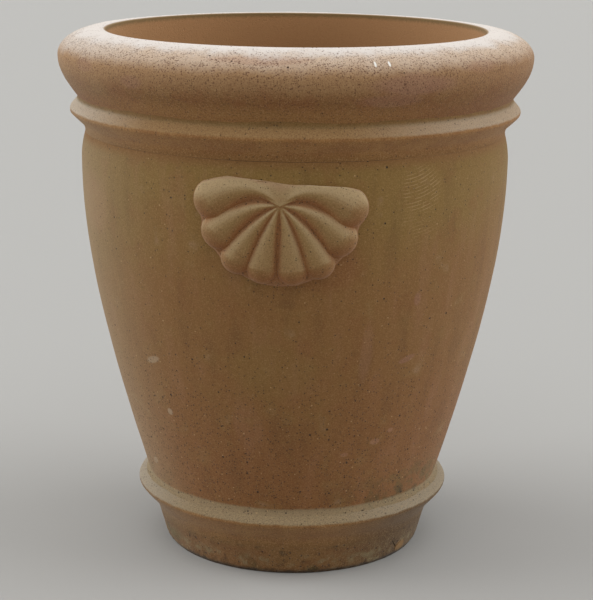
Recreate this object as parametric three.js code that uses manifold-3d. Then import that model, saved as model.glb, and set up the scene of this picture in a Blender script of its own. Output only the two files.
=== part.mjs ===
// Large rolled-rim garden planter with a pressed shell ornament, in millimetres, +Z up.
// The origin is the centre of the foot, on the ground. The front shell faces -Y.
// The pot is built up in sections, as a potter builds one this size: a floor slab in a foot ring, a barrel
// wall standing on the foot, and a thick roll for a rim. A lower band and an upper collar cover the two
// joints, each seated in a rebate, and the shells are pressed in a mould and stuck on the wall.

import * as THREE from "three";
import { mergeVertices } from "three/addons/utils/BufferGeometryUtils.js";
import loadManifold from "manifold-3d";

const manifold = await loadManifold();
manifold.setup();

// ---- Driving dimensions ------------------------------------------------------------------------

const POT_HEIGHT = 679; // ground to the crest of the rim
const JOINT_GAP = 0.3; // between a band, slab or shell and the clay it is stuck to

const BELLY_RADIUS = 276.5; // outside, where the barrel is widest
const BELLY_DROP = 36; // underside of the collar down to the widest place
const BELLY_ROUND = 270; // how far the wall takes to straighten below its widest place
const NECK_INSET = 5.5; // how far the wall draws in above its widest place
const WALL_FOOT_RADIUS = 193; // outside, where the wall meets the lower band
const WALL_THICKNESS = 28;

const RIM_WIDTH = 62; // mouth out to the widest point of the roll
const RIM_HEIGHT = 86;
const RIM_CROWN = 32; // crest down to the level of the widest point
const RIM_CROWN_WIDTH = 52; // crest out to the widest point
const RIM_SHOULDER = 21; // drop over which the roll still bulges, below its widest point
const RIM_TUCK = 18; // height over which the roll leans in above the collar
const RIM_LEAN = 0.72; // inward run of that lean for each unit of height
const LIP_ROUND = 2.5; // height of the turn into the mouth

const COLLAR_HEIGHT = 43;
const COLLAR_SEAT = 12.5; // depth of the rebate that the collar sits in
const COLLAR_TOP_WIDTH = 8; // how far the collar's top reaches past the wall under it
const COLLAR_PROJECTION = 19.5; // how far its nose reaches past the wall under it
const COLLAR_NOSE_DROP = 12.5; // top of the collar down to its nose
const COLLAR_NOSE = 5; // thickness of the nose
const COLLAR_HEEL = 3; // short upright above the wall

const FOOT_HEIGHT = 92; // ground to the joint with the wall
const FOOT_SETBACK = 15; // foot's top inside the wall's foot
const FOOT_DRAFT = 7; // how far the foot draws in from its top to the ground
const FOOT_THICKNESS = 28;
const FOOT_CHAMFER = 1.5;

const BAND_HEIGHT = 52;
const BAND_SEAT = 8; // depth of the rebate that the lower band sits in
const BAND_PROJECTION = 15; // how far its nose reaches past the wall's foot
const BAND_NOSE_DROP = 10.5; // top of the band down to its nose
const BAND_NOSE = 5;

const FLOOR_THICKNESS = 30;
const FLOOR_RECESS = 8; // clearance under the floor, so that water can leave
const FLOOR_LEDGE = 12; // width of the ledge that carries the floor
const DRAIN_RADIUS = 16;

const SHELL_DROP = 20; // underside of the collar down to the shell's top edge
const SHELL_TOP_REACH = 27; // hub up to the straight top edge
const SHELL_TILT = 2.4; // degrees clockwise, as a hand pressed it on
const SHELL_HUB_WIDTH = 8; // of each lobe where the lobes meet
const SHELL_HUB_RELIEF = 6; // height above the wall there
const SHELL_BOW_PLACE = 0.38; // share of a lobe's reach at which its spine bows most
const SHELL_WEB_WIDTH = 120; // of the flat web between the top lobes, along the top edge
const SHELL_WEB_RELIEF = 7;

// The lobes on one side of the fan, from the top one down. A reach runs from the hub to the centre of the
// lobe's round end, a bow lifts the middle of its spine, and a bearing is in degrees from straight down.
// A higher taper keeps a lobe slim for longer.
const LOBE_REACHES = [80, 81.5, 84, 81];
const LOBE_END_WIDTHS = [50, 44, 38, 38];
const LOBE_BOWS = [14, 7, 5, 2];
const LOBE_BEARINGS = [91.5, 63.5, 36.5, 13.5];
const LOBE_TAPERS = [1.6, 1.1, 1.1, 1];
const LOBE_RELIEF = 15.5; // crest of each round end above the wall

// ---- Fineness ----------------------------------------------------------------------------------

const TURNS = 64; // facets round the pot
const WALL_STEPS = 10;
const ROLL_STEPS = 6; // facets on each of the roll's two curves
const LIP_STEPS = 3;
const LOBE_TURNS = 12; // facets round a lobe
const LOBE_STEPS = 7; // facets along a lobe's spine
const LOBE_END_STEPS = 3; // facets over its round end
const WEB_STEPS = 12;

// ---- Levels and radii that follow --------------------------------------------------------------

const rimBase = POT_HEIGHT - RIM_HEIGHT;
const collarBase = rimBase - COLLAR_HEIGHT;
const bellyHeight = collarBase - BELLY_DROP;
const bandBase = FOOT_HEIGHT - BAND_HEIGHT;
const floorTop = FLOOR_RECESS + FLOOR_THICKNESS;

const neckRadius = BELLY_RADIUS - NECK_INSET;
const mouthRadius = neckRadius - WALL_THICKNESS;
const rimRadius = mouthRadius + RIM_WIDTH;
const collarSeatRadius = neckRadius - COLLAR_SEAT;
const collarTopRadius = neckRadius + COLLAR_TOP_WIDTH;
const footTopRadius = WALL_FOOT_RADIUS - FOOT_SETBACK;
const footInnerRadius = footTopRadius - FOOT_THICKNESS;
const bandSeatRadius = footTopRadius - BAND_SEAT;

// Outside radius of the barrel wall at a height: a soft bend into a straight taper below the widest place,
// and a short turn inwards above it.
function wallRadius(height) {
  const below = bellyHeight - height;
  if (below < 0) return BELLY_RADIUS - NECK_INSET * (below / BELLY_DROP) ** 2;
  const bend = (drop) => Math.hypot(drop, BELLY_ROUND) - BELLY_ROUND;
  const taper = (BELLY_RADIUS - WALL_FOOT_RADIUS) / bend(bellyHeight - FOOT_HEIGHT);
  return BELLY_RADIUS - taper * bend(below);
}

// Inside radius at a height. The wall thickens downwards until it is flush with the inside of the foot.
function wallInnerRadius(height) {
  const footwards = (collarBase - height) / (collarBase - FOOT_HEIGHT);
  const thickening = WALL_FOOT_RADIUS - WALL_THICKNESS - footInnerRadius;
  return wallRadius(height) - WALL_THICKNESS - thickening * footwards ** 3;
}

// ---- Materials ---------------------------------------------------------------------------------

function clay(name, color, roughness) {
  const material = new THREE.MeshStandardMaterial({ color, roughness, metalness: 0 });
  material.name = name;
  return material;
}
const wallClay = clay("wall_clay", 0x966c45, 0.9);
const rimClay = clay("rim_clay", 0xa98560, 0.9);
const bandClay = clay("band_clay", 0xa28a6b, 0.92);
const shellClay = clay("shell_clay", 0x9c7c56, 0.9);
const footClay = clay("foot_clay", 0x7f5c3d, 0.95);

// ---- Building blocks ---------------------------------------------------------------------------

const at = (radius, height) => new THREE.Vector2(radius, height);

function named(name, geometry, material) {
  const mesh = new THREE.Mesh(geometry, material);
  mesh.name = name;
  return mesh;
}

// A profile turned about the pot's axis. It runs up the outside, and for a ring down the inside again.
function turned(profile) {
  return new THREE.LatheGeometry(profile, TURNS).rotateX(Math.PI / 2);
}

const ring = (profile) => turned([...profile, profile[0]]);

// Points of one face of the wall between two heights.
function wallLine(radiusAt, from, to) {
  return Array.from({ length: WALL_STEPS + 1 }, (_, step) => {
    const height = THREE.MathUtils.lerp(from, to, step / WALL_STEPS);
    return at(radiusAt(height), height);
  });
}

// A closed geometry as a solid that can be joined and cut.
function solid(geometry) {
  const bare = geometry.clone();
  bare.deleteAttribute("normal");
  bare.deleteAttribute("uv");
  const merged = mergeVertices(bare);
  const corners = Array.from(merged.index.array);
  const faces = [];
  for (let first = 0; first < corners.length; first += 3) {
    const [a, b, c] = corners.slice(first, first + 3);
    if (a !== b && b !== c && c !== a) faces.push(a, b, c); // a pole's triangles collapse to a line
  }
  return new manifold.Manifold(
    new manifold.Mesh({
      numProp: 3,
      vertProperties: new Float32Array(merged.attributes.position.array),
      triVerts: new Uint32Array(faces),
    }),
  );
}

function geometryOf(body) {
  const { vertProperties, triVerts } = body.getMesh();
  const geometry = new THREE.BufferGeometry();
  geometry.setAttribute("position", new THREE.BufferAttribute(vertProperties, 3));
  geometry.setIndex(new THREE.BufferAttribute(triVerts, 1));
  geometry.computeVertexNormals();
  return geometry;
}

// ---- Floor and foot ----------------------------------------------------------------------------

function floorSlab() {
  const edge = footInnerRadius - JOINT_GAP;
  return ring([
    at(edge, FLOOR_RECESS),
    at(edge, floorTop),
    at(DRAIN_RADIUS, floorTop),
    at(DRAIN_RADIUS, FLOOR_RECESS),
  ]);
}

function footWall() {
  const groundRadius = footTopRadius - FOOT_DRAFT;
  const ledgeRadius = footInnerRadius - FLOOR_LEDGE;
  return ring([
    at(ledgeRadius, 0),
    at(groundRadius - FOOT_CHAMFER, 0),
    at(groundRadius, FOOT_CHAMFER),
    at(footTopRadius, bandBase),
    at(bandSeatRadius, bandBase),
    at(bandSeatRadius, FOOT_HEIGHT),
    at(footInnerRadius, FOOT_HEIGHT),
    at(footInnerRadius, FLOOR_RECESS),
    at(ledgeRadius, FLOOR_RECESS),
  ]);
}

function lowerBand() {
  const seat = bandSeatRadius + JOINT_GAP;
  const nose = WALL_FOOT_RADIUS + BAND_PROJECTION;
  const noseTop = FOOT_HEIGHT - BAND_NOSE_DROP;
  return ring([
    at(seat, bandBase),
    at(footTopRadius, bandBase),
    at(nose, noseTop - BAND_NOSE),
    at(nose, noseTop),
    at(WALL_FOOT_RADIUS, FOOT_HEIGHT),
    at(seat, FOOT_HEIGHT),
  ]);
}

// ---- Wall, collar and rim ----------------------------------------------------------------------

function barrelWall() {
  return ring([
    ...wallLine(wallRadius, FOOT_HEIGHT, collarBase),
    at(collarSeatRadius, collarBase),
    at(collarSeatRadius, rimBase),
    at(mouthRadius, rimBase),
    ...wallLine(wallInnerRadius, collarBase, FOOT_HEIGHT),
  ]);
}

function upperCollar() {
  const seat = collarSeatRadius + JOINT_GAP;
  const nose = neckRadius + COLLAR_PROJECTION;
  const noseTop = rimBase - COLLAR_NOSE_DROP;
  return ring([
    at(seat, collarBase),
    at(neckRadius, collarBase),
    at(neckRadius, collarBase + COLLAR_HEEL),
    at(nose, noseTop - COLLAR_NOSE),
    at(nose, noseTop),
    at(collarTopRadius, rimBase),
    at(seat, rimBase),
  ]);
}

function rolledRim() {
  const widest = POT_HEIGHT - RIM_CROWN;
  const crestRadius = rimRadius - RIM_CROWN_WIDTH;
  const quarter = Math.PI / 2;
  const roll = new THREE.CubicBezierCurve(
    at(collarTopRadius, rimBase),
    at(collarTopRadius + RIM_LEAN * RIM_TUCK, rimBase + RIM_TUCK),
    at(rimRadius, widest - RIM_SHOULDER),
    at(rimRadius, widest),
  );
  const crown = new THREE.EllipseCurve(crestRadius, widest, RIM_CROWN_WIDTH, RIM_CROWN, 0, quarter);
  const lipRun = crestRadius - mouthRadius;
  const lipBase = POT_HEIGHT - LIP_ROUND;
  const lip = new THREE.EllipseCurve(crestRadius, lipBase, lipRun, LIP_ROUND, quarter, 2 * quarter);
  return ring([
    at(mouthRadius, rimBase),
    ...roll.getPoints(ROLL_STEPS),
    ...crown.getPoints(ROLL_STEPS).slice(1),
    ...lip.getPoints(LIP_STEPS).slice(1),
  ]);
}

// ---- Pressed shell -----------------------------------------------------------------------------

// Spine of a lobe on the flattened wall, from the hub at 0, 0. Side is 1 to the right, -1 to the left.
function lobeSpine(index, side) {
  const reach = LOBE_REACHES[index];
  const angle = THREE.MathUtils.degToRad(LOBE_BEARINGS[index]);
  const along = at(side * Math.sin(angle), -Math.cos(angle));
  const upwards = at(side * Math.cos(angle), Math.sin(angle));
  const bend = along.clone().multiplyScalar(SHELL_BOW_PLACE * reach);
  bend.addScaledVector(upwards, 2 * LOBE_BOWS[index]);
  return new THREE.QuadraticBezierCurve(at(0, 0), bend, along.multiplyScalar(reach));
}

// A pear shape turned about its own axis, then bowed along the spine and flattened onto the wall.
function lobe(index, side, place) {
  const spine = lobeSpine(index, side);
  const length = spine.getLength();
  const endRadius = LOBE_END_WIDTHS[index] / 2;
  const hubRadius = SHELL_HUB_WIDTH / 2;
  const halfWidth = (share) => hubRadius + (endRadius - hubRadius) * share ** LOBE_TAPERS[index];
  const crest = (share) => THREE.MathUtils.lerp(SHELL_HUB_RELIEF, LOBE_RELIEF, share);
  const body = Array.from({ length: LOBE_STEPS + 1 }, (_, step) => {
    const share = step / LOBE_STEPS;
    return at(halfWidth(share), share * length);
  });
  const end = new THREE.EllipseCurve(0, length, endRadius, endRadius, 0, Math.PI / 2);
  const profile = [at(0, 0), ...body, ...end.getPoints(LOBE_END_STEPS).slice(1, -1), at(0, length + endRadius)];
  const geometry = new THREE.LatheGeometry(profile, LOBE_TURNS);
  const points = geometry.attributes.position;
  for (let point = 0; point < points.count; point += 1) {
    const distance = points.getY(point);
    const share = Math.min(1, distance / length);
    const tangent = spine.getTangentAt(share);
    const spot = spine.getPointAt(share).addScaledVector(tangent, Math.max(0, distance - length));
    spot.addScaledVector(at(tangent.y, -tangent.x), points.getX(point));
    const height = (points.getZ(point) * crest(share)) / halfWidth(share);
    points.setXYZ(point, ...place(spot, height));
  }
  return solid(geometry);
}

// A flat plate that widens from the hub to the top edge.
function web(place) {
  const plate = new THREE.BoxGeometry(1, SHELL_TOP_REACH, 2 * SHELL_WEB_RELIEF, WEB_STEPS, 1, 1);
  plate.translate(0, SHELL_TOP_REACH / 2, 0);
  const points = plate.attributes.position;
  for (let point = 0; point < points.count; point += 1) {
    const reach = points.getY(point);
    const width = THREE.MathUtils.lerp(SHELL_HUB_WIDTH, SHELL_WEB_WIDTH, reach / SHELL_TOP_REACH);
    points.setXYZ(point, ...place(at(width * points.getX(point), reach), points.getZ(point)));
  }
  return solid(plate);
}

// Lays a point of the flattened wall on the real one, with the shell's tilt.
function ontoWall(hubHeight) {
  const tilt = THREE.MathUtils.degToRad(-SHELL_TILT);
  return (spot, height) => {
    const turnedSpot = spot.clone().rotateAround(at(0, 0), tilt);
    const level = hubHeight + turnedSpot.y;
    const radius = wallRadius(level) + height;
    const turn = turnedSpot.x / BELLY_RADIUS;
    return [radius * Math.sin(turn), -radius * Math.cos(turn), level];
  };
}

function pressedShell() {
  const place = ontoWall(collarBase - SHELL_DROP - SHELL_TOP_REACH);
  const lobes = LOBE_REACHES.flatMap((_, index) => [lobe(index, 1, place), lobe(index, -1, place)]);
  const fan = lobes.reduce((joined, each) => joined.add(each), web(place));
  const face = wallLine(wallRadius, FOOT_HEIGHT, collarBase).map((point) => at(point.x + JOINT_GAP, point.y));
  const wall = solid(turned([at(0, FOOT_HEIGHT), ...face, at(0, collarBase)]));
  return geometryOf(fan.subtract(wall));
}

// ---- Assembly ----------------------------------------------------------------------------------

const planter = new THREE.Group();
planter.name = "shell_planter";
planter.add(
  named("floor_slab", floorSlab(), footClay),
  named("foot_wall", footWall(), footClay),
  named("lower_band", lowerBand(), bandClay),
  named("barrel_wall", barrelWall(), wallClay),
  named("upper_collar", upperCollar(), bandClay),
  named("rolled_rim", rolledRim(), rimClay),
);

const shell = pressedShell();
const backShell = named("shell_back", shell, shellClay);
backShell.rotation.z = Math.PI;
planter.add(named("shell_front", shell, shellClay), backShell);

export default planter;
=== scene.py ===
"""Dresses a large rolled-rim garden planter with pressed shells. Metres, +Z up, front shell towards -Y.

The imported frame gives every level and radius. Each clay piece is modelled over its frame node: turned
pieces are drawn as a section, eased and spun, and the shells are built flat, softened and laid on the wall.
"""

import math

import bmesh
import bpy
from mathutils import Matrix, Vector


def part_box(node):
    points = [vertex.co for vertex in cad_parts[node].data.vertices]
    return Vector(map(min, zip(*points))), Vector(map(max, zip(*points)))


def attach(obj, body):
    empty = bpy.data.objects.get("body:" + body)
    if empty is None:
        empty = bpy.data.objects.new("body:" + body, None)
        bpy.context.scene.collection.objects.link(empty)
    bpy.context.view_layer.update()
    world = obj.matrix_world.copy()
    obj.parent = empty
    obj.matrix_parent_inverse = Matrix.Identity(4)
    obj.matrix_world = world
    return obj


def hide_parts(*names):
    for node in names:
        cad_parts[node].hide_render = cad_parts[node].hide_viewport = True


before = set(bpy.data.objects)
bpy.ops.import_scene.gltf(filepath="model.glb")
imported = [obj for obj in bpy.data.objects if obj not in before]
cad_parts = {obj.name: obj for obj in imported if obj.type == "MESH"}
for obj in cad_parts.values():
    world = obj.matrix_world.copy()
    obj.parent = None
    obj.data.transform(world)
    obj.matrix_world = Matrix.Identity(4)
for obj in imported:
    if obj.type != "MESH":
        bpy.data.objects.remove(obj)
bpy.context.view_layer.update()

MM = 0.001
MERGE_REACH = MM / 100
CRISP_ANGLE = 50  # degrees: a turned piece's edges that bend more than this stay crisp
EASE_STEPS = 4
SECTORS = 16  # a turned piece is spun over one of these and repeated round
STEPS_ROUND = {  # facets in a full turn of each turned piece
    "floor_disc": 192,
    "foot_ring": 768,
    "lower_band_ring": 768,
    "barrel_body": 512,
    "collar_ring": 960,
    "rolled_rim_ring": 768,
}

# ---- Levels and radii, from the frame ----------------------------------------------------------


def span(node):
    """Lowest level, highest level and outside radius of a turned node."""
    low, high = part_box(node)
    return low.z, high.z, high.x


RIM_BASE, POT_TOP, RIM_RADIUS = span("rolled_rim")
COLLAR_BASE, COLLAR_TOP, COLLAR_RADIUS = span("upper_collar")
WALL_FOOT, _, BELLY_RADIUS = span("barrel_wall")
BAND_BASE, BAND_TOP, BAND_RADIUS = span("lower_band")
_, _, FOOT_RADIUS = span("foot_wall")
FLOOR_BASE, FLOOR_TOP, FLOOR_RADIUS = span("floor_slab")

# ---- Sizes inside the frame's boxes ------------------------------------------------------------

BELLY_DROP = 36 * MM  # underside of the collar down to the widest place
BELLY_ROUND = 270 * MM  # how far the wall takes to straighten below its widest place
NECK_INSET = 5.5 * MM
WALL_THICKNESS = 28 * MM
WALL_FOOT_RADIUS = 193 * MM
WALL_THICKENING = 15 * MM  # extra thickness at the wall's foot
WALL_COVE = 2.5 * MM  # small flare where the wall runs out on the lower band
WALL_COVE_HEIGHT = 8 * MM
OUTER_LEVELS = 112  # places up the barrel's outside and its inside at which the curve is drawn
INNER_LEVELS = 36

RIM_CROWN = 32 * MM
RIM_CROWN_WIDTH = 52 * MM
RIM_SHOULDER = 21 * MM
RIM_TUCK = 18 * MM
RIM_LEAN = 0.72
LIP_ROUND = 2.5 * MM
ROLL_STEPS = 24  # of the rim's roll, its crown and its inner lip
CROWN_STEPS = 24
LIP_STEPS = 8

COLLAR_TOP_RADIUS = 279 * MM
COLLAR_NOSE = 5 * MM
COLLAR_NOSE_DROP = 12.5 * MM
COLLAR_HEEL = 7 * MM
COLLAR_FILLET = 6 * MM  # of clay up the rim, where the collar meets it
COLLAR_SEAT_RADIUS = 259 * MM

BAND_NOSE = 5 * MM
BAND_NOSE_DROP = 10.5 * MM
BAND_SEAT_RADIUS = 170.3 * MM
BAND_COVE = (185 * MM, 50.5 * MM)  # where the band's underside bends down into the foot

FOOT_DRAFT = 7 * MM
FOOT_FLARE = 3.3 * MM  # how far the foot's top swells towards the band
FOOT_INNER_RADIUS = 150 * MM
FOOT_LEDGE_RADIUS = 138 * MM
FOOT_CHAMFER = 1.5 * MM
DRAIN_RADIUS = 16 * MM

# A forked crack in the foot: how far round from the front, then its places, across and up from there.
CRACK_BEARING = 55.5  # degrees
CRACK_FORK = (0, 13 * MM)
CRACK_ENDS = [(-13 * MM, 27 * MM), (11 * MM, 19 * MM), (0.5 * MM, -1 * MM)]
CRACK_WIDTH = 2 * MM
CRACK_DEPTH = 4 * MM

SHELL_DROP = 20 * MM
SHELL_TOP_REACH = 30.5 * MM
SHELL_TOP_EDGE = 28.5 * MM  # the top edge is cut straight here, above the hub
SHELL_TOP_SLOPE = 2.2  # degrees by which it leans further than the rest
SHELL_TILT = 2.4  # degrees clockwise
SHELL_SINK = 0.9 * MM  # how deep the shell's backing lies in the wall
SHELL_BACKING = 3 * MM
SHELL_HUB_WIDTH = 2 * MM
SHELL_HUB_RELIEF = 5 * MM
SHELL_BOW_PLACE = 0.38
SHELL_WEB_WIDTH = 104 * MM
SHELL_WEB_REACH = 26 * MM
WEB_HUB_RELIEF = 6.5 * MM
WEB_CORNER_RELIEF = 8 * MM
WEB_EDGE_RELIEF = 1 * MM  # at the middle of the top edge, where the web runs out on the wall

# The lobes on one side of the fan, from the top one down.
LOBE_REACHES = [80 * MM, 80 * MM, 83 * MM, 78 * MM]
LOBE_END_WIDTHS = [48 * MM, 44 * MM, 38 * MM, 38 * MM]
LOBE_BOWS = [17 * MM, 9 * MM, 5 * MM, 2 * MM]
LOBE_BEARINGS = [90, 63, 36.5, 13.5]  # degrees from straight down
LOBE_TAPERS = [1, 1, 1.05, 1]
LOBE_RELIEF = 16 * MM
LOBE_SIDES = 28
LOBE_STEPS = 20
LOBE_END_STEPS = 8
SHELL_GRAIN = 0.8 * MM  # fineness of the softened shell
SHELL_SOFTENING = 4
WEB_SOFTENING = 90
SHELL_TRIANGLES = 190_000
FILLET_HEIGHT = 6 * MM
FILLET_SOFTENING = 36
FAN_FLOOR_RADIUS = 96 * MM  # the clay left between the lobes' ends
FAN_FLOOR_RELIEF = 2.6 * MM
FAN_FLOOR_TOP = 14 * MM
BACKING_SIZE = (228 * MM, 142 * MM)
BACKING_MIDDLE = -38 * MM  # from the hub

belly_height = COLLAR_BASE - BELLY_DROP
neck_radius = BELLY_RADIUS - NECK_INSET
mouth_radius = neck_radius - WALL_THICKNESS
hub_height = COLLAR_BASE - SHELL_DROP - SHELL_TOP_REACH


def wall_radius(height):
    """Outside radius of the barrel: a soft bend into a straight taper, and a short turn inwards on top."""
    below = belly_height - height
    if below < 0:
        return BELLY_RADIUS - NECK_INSET * (below / BELLY_DROP) ** 2
    bend = lambda drop: math.hypot(drop, BELLY_ROUND) - BELLY_ROUND
    taper = (BELLY_RADIUS - WALL_FOOT_RADIUS) / bend(belly_height - WALL_FOOT)
    return BELLY_RADIUS - taper * bend(below)


def wall_inner_radius(height):
    """Inside radius of the barrel, which thickens towards the foot."""
    footwards = (COLLAR_BASE - height) / (COLLAR_BASE - WALL_FOOT)
    return wall_radius(height) - WALL_THICKNESS - WALL_THICKENING * footwards**3


# ---- Bench work --------------------------------------------------------------------------------


def clear_selection():
    """Leaves edit mode and deselects everything."""
    if bpy.context.mode != "OBJECT":
        bpy.ops.object.mode_set(mode="OBJECT")
    bpy.ops.object.select_all(action="DESELECT")


def pick(piece):
    """Makes a piece the only one selected, and active."""
    clear_selection()
    piece.select_set(True)
    bpy.context.view_layer.objects.active = piece


def open_up():
    """Goes into edit mode with everything selected."""
    bpy.ops.object.mode_set(mode="EDIT")
    bpy.ops.mesh.select_all(action="SELECT")


def close_up():
    """Goes back to object mode, and gives the piece that was edited."""
    bpy.ops.object.mode_set(mode="OBJECT")
    return bpy.context.object


def block(middle, size):
    """A plain block of clay."""
    clear_selection()
    bpy.ops.mesh.primitive_cube_add(size=1, location=middle, scale=size)
    bpy.ops.object.transform_apply(location=True, scale=True)
    return bpy.context.object


def choose(test):
    """In edit mode, selects the corners that pass the test, and the edges and faces between them."""
    mesh = bmesh.from_edit_mesh(bpy.context.object.data)
    for part in (*mesh.verts, *mesh.edges, *mesh.faces):
        part.select_set(False)
    for corner in mesh.verts:
        if test(corner.co):
            corner.select_set(True)
    mesh.select_flush_mode()
    bmesh.update_edit_mesh(bpy.context.object.data)


def apply_modifier(piece, kind, **settings):
    """Adds a modifier with these settings and applies it."""
    pick(piece)
    modifier = piece.modifiers.new(kind.lower(), kind)
    for setting, value in settings.items():
        setattr(modifier, setting, value)
    bpy.ops.object.modifier_apply(modifier=modifier.name)


def draw_section(section):
    """A closed outline in the XZ plane, drawn from one corner and left in edit mode, all selected."""
    clear_selection()
    radius, height = section[0]
    bpy.ops.mesh.primitive_plane_add(size=MM, location=(radius, 0, height))
    bpy.ops.object.transform_apply(location=True)
    bpy.ops.object.mode_set(mode="EDIT")
    bpy.ops.mesh.merge(type="CENTER")
    for start, end in zip(section, section[1:] + section[:1]):
        step = (end[0] - start[0], 0, end[1] - start[1])
        bpy.ops.mesh.extrude_vertices_move(TRANSFORM_OT_translate={"value": step})
    bpy.ops.mesh.select_all(action="SELECT")
    bpy.ops.mesh.remove_doubles(threshold=MERGE_REACH)


def ease(corner, size):
    """Rounds one corner of the section that is being drawn."""
    place = Vector((corner[0], 0, corner[1]))
    choose(lambda spot: (spot - place).length < MM / 50)
    bpy.ops.mesh.bevel(offset=size, offset_type="OFFSET", segments=EASE_STEPS, affect="VERTICES")


def refine(spacing, worked):
    """Divides the section's long stretches where it's worked, so that the surface there can be shaped."""
    lengths = lambda mesh: {edge: math.floor(edge.calc_length() / spacing) for edge in mesh.edges}
    bpy.ops.mesh.select_mode(type="EDGE")
    for cuts in sorted(set(lengths(bmesh.from_edit_mesh(bpy.context.object.data)).values()) - {0}):
        bpy.ops.mesh.select_all(action="DESELECT")
        mesh = bmesh.from_edit_mesh(bpy.context.object.data)
        for edge, fitting in lengths(mesh).items():
            middle = (edge.verts[0].co + edge.verts[1].co) / 2
            edge.select_set(fitting == cuts and worked(middle))
        bmesh.update_edit_mesh(bpy.context.object.data)
        bpy.ops.mesh.subdivide(number_cuts=cuts)
    bpy.ops.mesh.select_mode(type="VERT")


def turn(name, section, spacing, eased=(), worked=lambda spot: True):
    """A piece turned on the wheel: a section drawn, eased, spun over one sector and repeated round."""
    draw_section(section)
    for corner, size in eased:
        ease(corner, size)
    refine(spacing, worked)
    bpy.ops.mesh.select_all(action="SELECT")
    steps = STEPS_ROUND[name] // SECTORS
    bpy.ops.mesh.spin(steps=steps, angle=math.tau / SECTORS, center=(0, 0, 0), axis=(0, 0, 1))
    bpy.ops.mesh.select_all(action="SELECT")
    bpy.ops.mesh.spin(steps=SECTORS, dupli=True, angle=math.tau, center=(0, 0, 0), axis=(0, 0, 1))
    bpy.ops.mesh.select_all(action="SELECT")
    bpy.ops.mesh.remove_doubles(threshold=MERGE_REACH)
    bpy.ops.mesh.normals_make_consistent(inside=False)
    piece = close_up()
    piece.name = piece.data.name = name
    bpy.ops.object.shade_smooth_by_angle(angle=math.radians(CRISP_ANGLE))
    return piece


def weigh(piece, name, where):
    """Gives a piece a named weight: where works it out from each corner's place."""
    group = piece.vertex_groups.new(name=name)
    for corner in piece.data.vertices:
        weight = float(where(corner.co))
        if weight > 0:
            group.add([corner.index], weight, "REPLACE")


def wear(piece, name, depth, size, where):
    """Takes up to depth off a surface in soft hollows of about this size, as far as the weight says."""
    texture = bpy.data.textures.new(name, "CLOUDS")
    texture.noise_scale = size
    texture.noise_depth = 2
    weigh(piece, name, where)
    apply_modifier(piece, "DISPLACE", texture=texture, strength=depth, mid_level=1, vertex_group=name)


def near(value, centre, reach):
    """1 at the centre, falling evenly to 0 at the reach."""
    return max(0, 1 - abs(value - centre) / reach)


def reach_of(spot):
    """How far a point is from the pot's axis."""
    return math.hypot(spot.x, spot.y)


# ---- Turned pieces -----------------------------------------------------------------------------


def floor_disc():
    """The floor slab with its drain hole."""
    section = [
        (FLOOR_RADIUS, FLOOR_BASE),
        (FLOOR_RADIUS, FLOOR_TOP),
        (DRAIN_RADIUS, FLOOR_TOP),
        (DRAIN_RADIUS, FLOOR_BASE),
    ]
    disc = turn("floor_disc", section, 5 * MM, [(section[2], 3 * MM), (section[3], 3 * MM)])
    wear(disc, "floor_waves", 0.8 * MM, 40 * MM, lambda spot: near(spot.z, FLOOR_TOP, 2 * MM))
    return disc


def foot_ring():
    """The foot, with a nicked ground edge and a forked crack on the right."""
    ground_radius = FOOT_RADIUS - FOOT_DRAFT
    section = [
        (FOOT_LEDGE_RADIUS, 0),
        (ground_radius - FOOT_CHAMFER, 0),
        (ground_radius, FOOT_CHAMFER),
        (FOOT_RADIUS + FOOT_FLARE, BAND_BASE),
        (BAND_SEAT_RADIUS, BAND_BASE),
        (BAND_SEAT_RADIUS, WALL_FOOT),
        (FOOT_INNER_RADIUS, WALL_FOOT),
        (FOOT_INNER_RADIUS, FLOOR_BASE),
        (FOOT_LEDGE_RADIUS, FLOOR_BASE),
    ]
    outside = lambda spot: reach_of(spot) > FOOT_RADIUS - 9 * MM and spot.z < BAND_BASE + MM
    worked = lambda spot: outside(spot) or spot.z < MM
    foot = turn("foot_ring", section, 1.8 * MM, worked=worked)
    lumpy = lambda spot: outside(spot) * near(spot.z, 0, BAND_BASE) ** 0.4
    nicked = lambda spot: outside(spot) * near(spot.z, 0, 5 * MM)
    wear(foot, "foot_lumps", 1.4 * MM, 16 * MM, lumpy)
    wear(foot, "ground_nicks", 5 * MM, 7 * MM, nicked)
    for end in CRACK_ENDS:
        wedge = crack_wedge(end)
        apply_modifier(foot, "BOOLEAN", object=wedge, operation="DIFFERENCE")
        bpy.data.objects.remove(wedge)
    return foot


def crack_wedge(end):
    """A thin wedge from the crack's fork to one of its ends, where it narrows to nothing."""
    run = Vector((end[0] - CRACK_FORK[0], 0, end[1] - CRACK_FORK[1]))
    middle = Vector((CRACK_FORK[0], -FOOT_RADIUS, CRACK_FORK[1])) + run / 2
    clear_selection()
    bpy.ops.mesh.primitive_cube_add(
        size=1,
        location=middle,
        rotation=(0, -math.atan2(run.z, run.x), 0),
        scale=(run.length, 2 * CRACK_DEPTH + FOOT_DRAFT, CRACK_WIDTH),
    )
    wedge = bpy.context.object
    bpy.ops.object.mode_set(mode="EDIT")
    choose(lambda spot: spot.x > 0)
    bpy.ops.transform.resize(value=(1, 1, 0.15), orient_type="LOCAL", center_override=middle + run / 2)
    close_up()
    bpy.ops.transform.rotate(value=-math.radians(CRACK_BEARING), orient_axis="Z", center_override=(0, 0, 0))
    bpy.ops.object.transform_apply(location=True, rotation=True, scale=True)
    return wedge


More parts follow.
